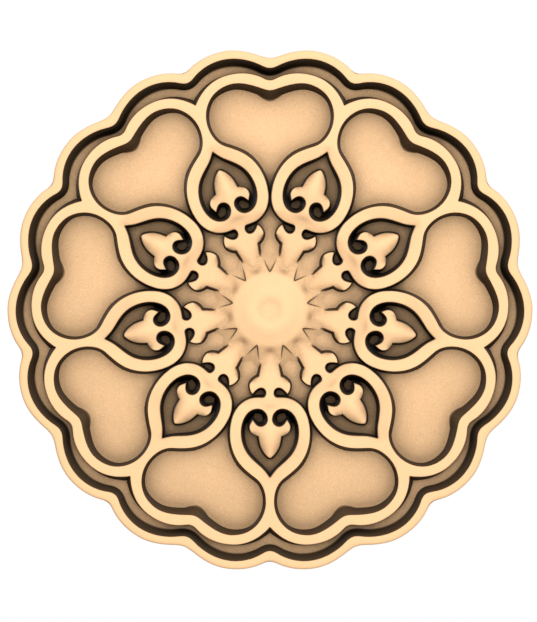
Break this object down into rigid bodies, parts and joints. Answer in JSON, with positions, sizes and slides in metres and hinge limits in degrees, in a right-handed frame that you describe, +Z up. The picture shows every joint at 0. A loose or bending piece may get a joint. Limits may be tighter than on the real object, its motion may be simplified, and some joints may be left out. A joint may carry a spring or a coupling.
{
  "type": "ornamental medallion",
  "caption": "Round scalloped wooden wall rosette carved in relief, with palmettes in a heart lattice around a dimpled dome, on a flat back.",
  "frame": {"origin": "centre of the flat back, where the medallion meets the wall or panel", "axes": "+Y out of the back into the wall, so the carved face looks along -Y; +Z up, with one lobe at the top and one palmette pointing straight down"},
  "size_m": [0.3, 0.0258, 0.2965],
  "materials": {
    "wood": "bare pale wood, satin, with a thin dark glaze left in the deepest carving"
  },
  "bodies": {
    "root": {"medallion": "wood"}
  },
  "joints": []
}
